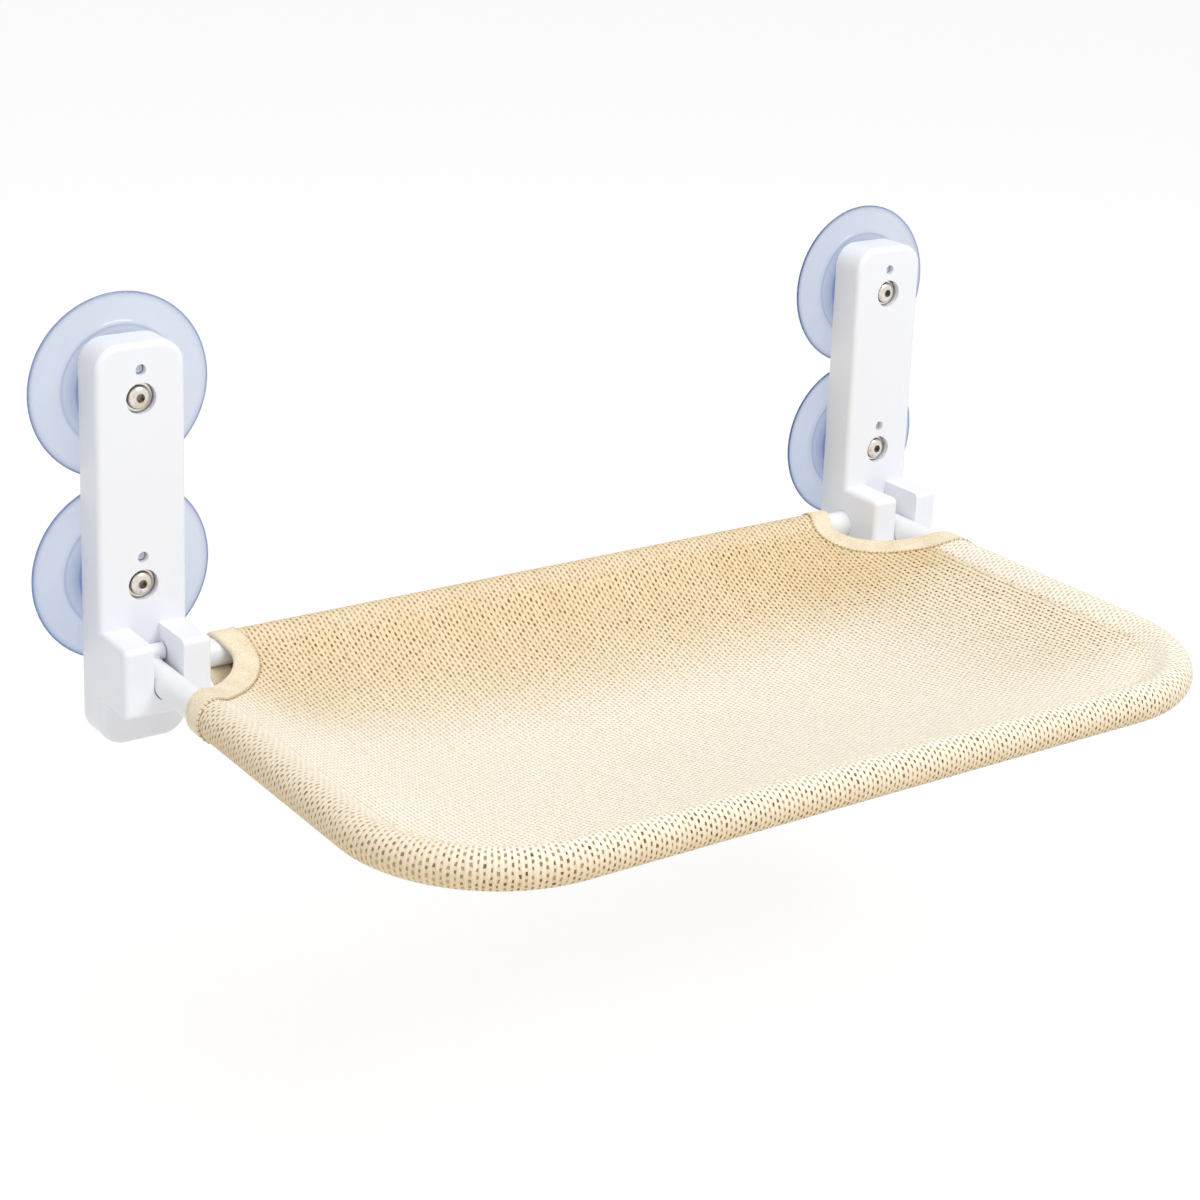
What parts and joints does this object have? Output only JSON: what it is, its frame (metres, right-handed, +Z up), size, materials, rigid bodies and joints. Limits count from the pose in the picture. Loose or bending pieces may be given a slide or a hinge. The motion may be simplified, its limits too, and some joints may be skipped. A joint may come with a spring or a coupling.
{
  "type": "window mounted cat perch",
  "caption": "Fold-up cat perch for a window: a woven sling on a bent tube frame, hinged to plastic brackets that hold the glass with suction cups.",
  "frame": {"origin": "on the glass, midway between the brackets, at the height of the upper suction cups", "axes": "+X right along the window as seen from the room, +Y out through the glass, +Z up"},
  "size_m": [0.5716, 0.3218, 0.2268],
  "materials": {
    "housing_plastic": "satin white moulding",
    "cover_plastic": "plain white moulding",
    "knuckle_plastic": "white moulding",
    "cup_vinyl": "clear soft vinyl with a blue tint",
    "tube_paint": "white powder coat on steel tube",
    "fastener_steel": "polished stainless steel",
    "pin_steel": "bright steel",
    "insert_brass": "machined brass",
    "woven_fabric": "open plain weave in cream yarn",
    "binding_tape": "plain beige binding tape"
  },
  "bodies": {
    "brackets": {"bracket_left": "housing_plastic", "back_cover_left": "cover_plastic", "cover_screws_left": "fastener_steel", "hinge_pin_left": "pin_steel", "suction_cup_upper_left": "cup_vinyl", "cup_insert_upper_left": "insert_brass", "cup_washer_upper_left": "fastener_steel", "cup_screw_upper_left": "fastener_steel", "suction_cup_lower_left": "cup_vinyl", "cup_insert_lower_left": "insert_brass", "cup_washer_lower_left": "fastener_steel", "cup_screw_lower_left": "fastener_steel", "bracket_right": "housing_plastic", "back_cover_right": "cover_plastic", "cover_screws_right": "fastener_steel", "hinge_pin_right": "pin_steel", "suction_cup_upper_right": "cup_vinyl", "cup_insert_upper_right": "insert_brass", "cup_washer_upper_right": "fastener_steel", "cup_screw_upper_right": "fastener_steel", "suction_cup_lower_right": "cup_vinyl", "cup_insert_lower_right": "insert_brass", "cup_washer_lower_right": "fastener_steel", "cup_screw_lower_right": "fastener_steel", "crossbar": "tube_paint", "sling_rear_sleeve": "woven_fabric"},
    "frame": {"folding_frame": "tube_paint", "knuckle_left": "knuckle_plastic", "knuckle_right": "knuckle_plastic", "knuckle_dowel_left": "pin_steel", "knuckle_dowel_right": "pin_steel", "sling_hem": "woven_fabric", "sling_panel": "woven_fabric", "sling_binding_left": "binding_tape", "sling_binding_right": "binding_tape"}
  },
  "joints": [
    {"name": "frame_fold", "type": "hinge", "parent": "brackets", "child": "frame", "pos_m": [0, -0.0319, -0.1307], "axis": [-1, 0, 0], "range_deg": [0, 90]}
  ]
}
